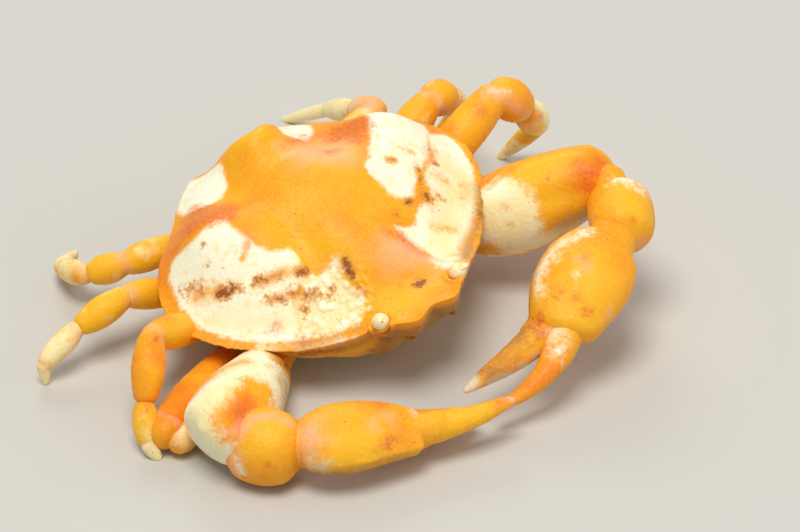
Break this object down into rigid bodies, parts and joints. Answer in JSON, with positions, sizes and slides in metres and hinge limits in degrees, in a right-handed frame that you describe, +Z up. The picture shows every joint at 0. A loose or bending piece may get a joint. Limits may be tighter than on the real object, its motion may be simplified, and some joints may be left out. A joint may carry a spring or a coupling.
{
  "type": "pebble crab",
  "caption": "Life-size still model of a small orange and cream pebble crab with a domed rhomboid shell, long claw arms and slender walking legs, leaning on one claw arm.",
  "frame": {"origin": "middle of the crab's outline, on the floor that it stands on", "axes": "the crab faces -Y, +X is its left, the longest way across its legs, and +Z is up"},
  "size_m": [0.027, 0.025, 0.0077],
  "materials": {
    "shell_orange": "satin, finely granular",
    "shell_cream": "satin, finely granular",
    "eye_cream": "glossy"
  },
  "bodies": {
    "root": {"carapace": "shell_cream", "breastplate": "shell_cream", "tail": "shell_cream", "mouthpart_left": "shell_orange", "eye_left": "eye_cream", "feeler_left": "shell_orange", "arm_left": "shell_cream", "wrist_left": "shell_orange", "hand_left": "shell_orange", "finger_left": "shell_orange", "leg_1_upper_left": "shell_orange", "leg_1_lower_left": "shell_cream", "leg_2_upper_left": "shell_orange", "leg_2_lower_left": "shell_cream", "leg_3_upper_left": "shell_orange", "leg_3_lower_left": "shell_cream", "leg_4_upper_left": "shell_orange", "leg_4_lower_left": "shell_cream", "mouthpart_right": "shell_orange", "eye_right": "eye_cream", "feeler_right": "shell_orange", "arm_right": "shell_cream", "wrist_right": "shell_orange", "hand_right": "shell_orange", "finger_right": "shell_orange", "leg_1_upper_right": "shell_orange", "leg_1_lower_right": "shell_cream", "leg_2_upper_right": "shell_orange", "leg_2_lower_right": "shell_cream", "leg_3_upper_right": "shell_orange", "leg_3_lower_right": "shell_cream", "leg_4_upper_right": "shell_orange", "leg_4_lower_right": "shell_cream"}
  },
  "joints": []
}
